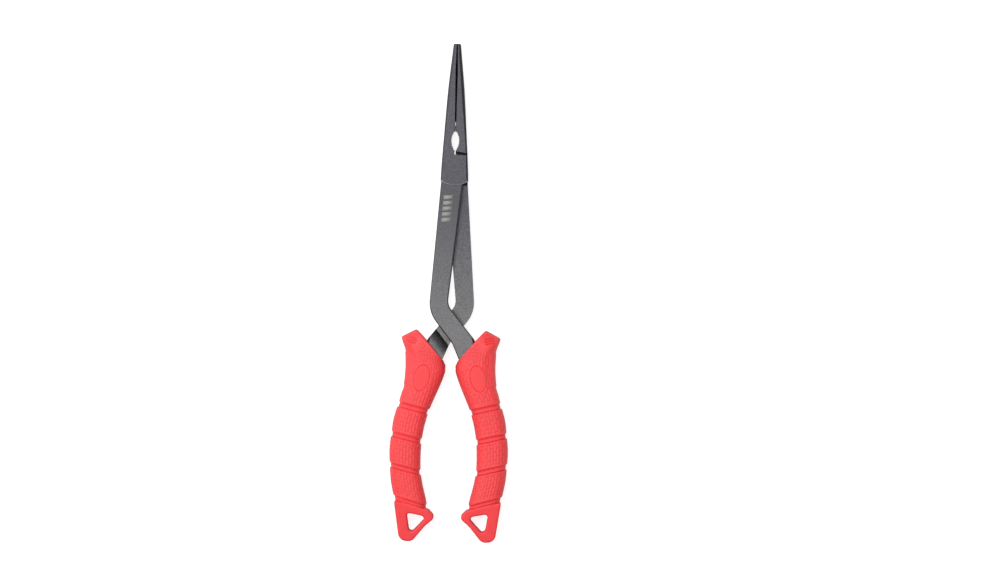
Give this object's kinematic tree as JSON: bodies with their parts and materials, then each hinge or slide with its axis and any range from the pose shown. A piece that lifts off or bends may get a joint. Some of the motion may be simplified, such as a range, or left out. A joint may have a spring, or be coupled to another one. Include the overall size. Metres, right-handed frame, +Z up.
{
  "type": "fishing pliers",
  "caption": "Long-reach needle-nose fishing pliers: crossed steel halves on a flush rivet, red dual-moulded grips with lanyard eyes.",
  "frame": {"origin": "middle of the footprint of the pliers lying closed on a table", "axes": "+Y along the tool towards the jaw tips, +X to the right across the tool, +Z up through its thickness, along the pivot's axis"},
  "size_m": [0.07, 0.2919, 0.017],
  "materials": {
    "coated_steel": "bead-blasted dark grey coating",
    "rivet_steel": "ground flush, dark grey coating",
    "hard_nylon": "smooth satin moulding",
    "soft_grip": "moulded with fine raised cells"
  },
  "bodies": {
    "front": {"front_half": "coated_steel", "pivot_rivet": "rivet_steel", "front_handle_core": "hard_nylon", "front_head_pad": "soft_grip", "front_upper_pad": "soft_grip", "front_middle_pad": "soft_grip", "front_lower_pad": "soft_grip"},
    "rear": {"rear_half": "coated_steel", "rear_handle_core": "hard_nylon", "rear_head_pad": "soft_grip", "rear_upper_pad": "soft_grip", "rear_middle_pad": "soft_grip", "rear_lower_pad": "soft_grip"}
  },
  "joints": [
    {"name": "jaw_pivot", "type": "hinge", "parent": "front", "child": "rear", "pos_m": [0, 0.0715, 0.0085], "axis": [0, 0, -1], "range_deg": [0, 14.5]}
  ]
}
